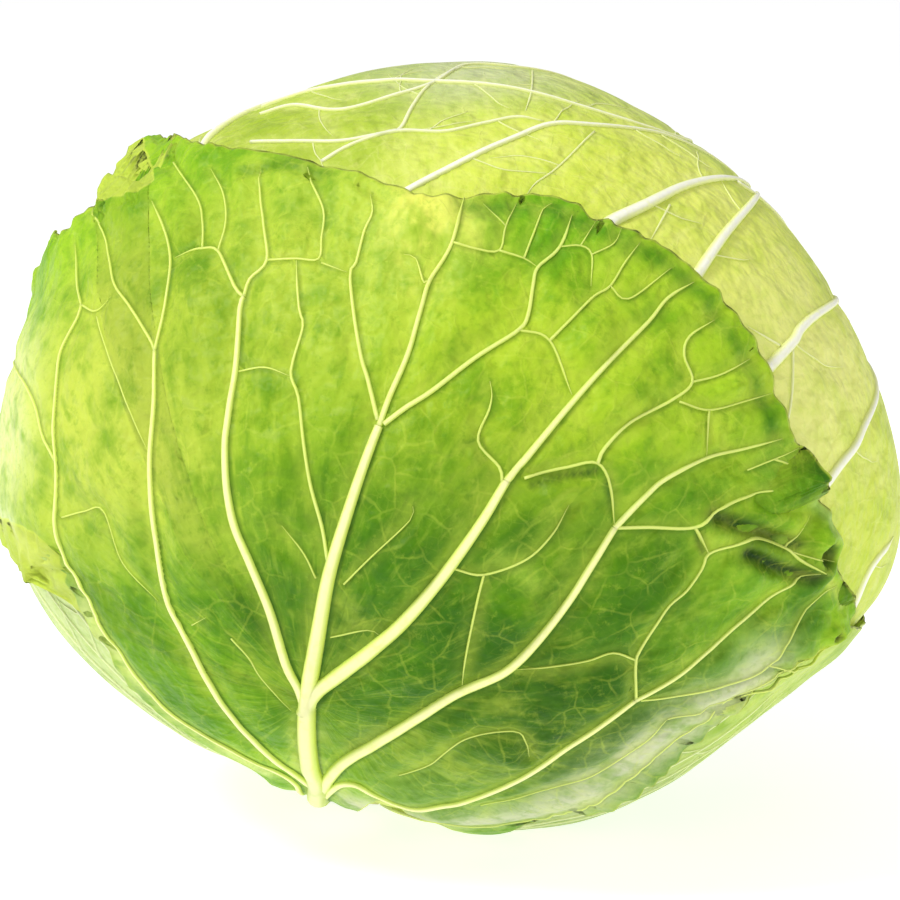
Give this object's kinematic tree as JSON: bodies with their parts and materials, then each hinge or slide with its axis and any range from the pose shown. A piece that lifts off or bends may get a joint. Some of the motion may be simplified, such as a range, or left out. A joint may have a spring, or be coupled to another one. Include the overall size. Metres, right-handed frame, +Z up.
{
  "type": "cabbage",
  "caption": "Whole round cabbage head with loose outer leaves, raised pale ribs and a cut stem, lying on a small flat spot.",
  "frame": {"origin": "middle of the small flat spot that the head rests on", "axes": "+Z up; +X to the right along the head's longest way, seen from the side of the big green leaf; -Y towards that side"},
  "size_m": [0.2104, 0.2026, 0.1738],
  "materials": {
    "outer_leaf": "waxy green leaf with pale raised ribs",
    "side_leaf": "waxy light green leaf",
    "crown_leaf": "waxy pale yellow-green leaf",
    "inner_leaves": "pale folded leaves",
    "stem": "cut stem, moist and slightly fibrous"
  },
  "bodies": {
    "root": {"front_leaf": "outer_leaf", "left_leaf": "side_leaf", "right_leaf": "side_leaf", "crown_leaf": "crown_leaf", "crown_back_leaf": "crown_leaf", "inner_head": "inner_leaves", "cut_stem": "stem"}
  },
  "joints": []
}
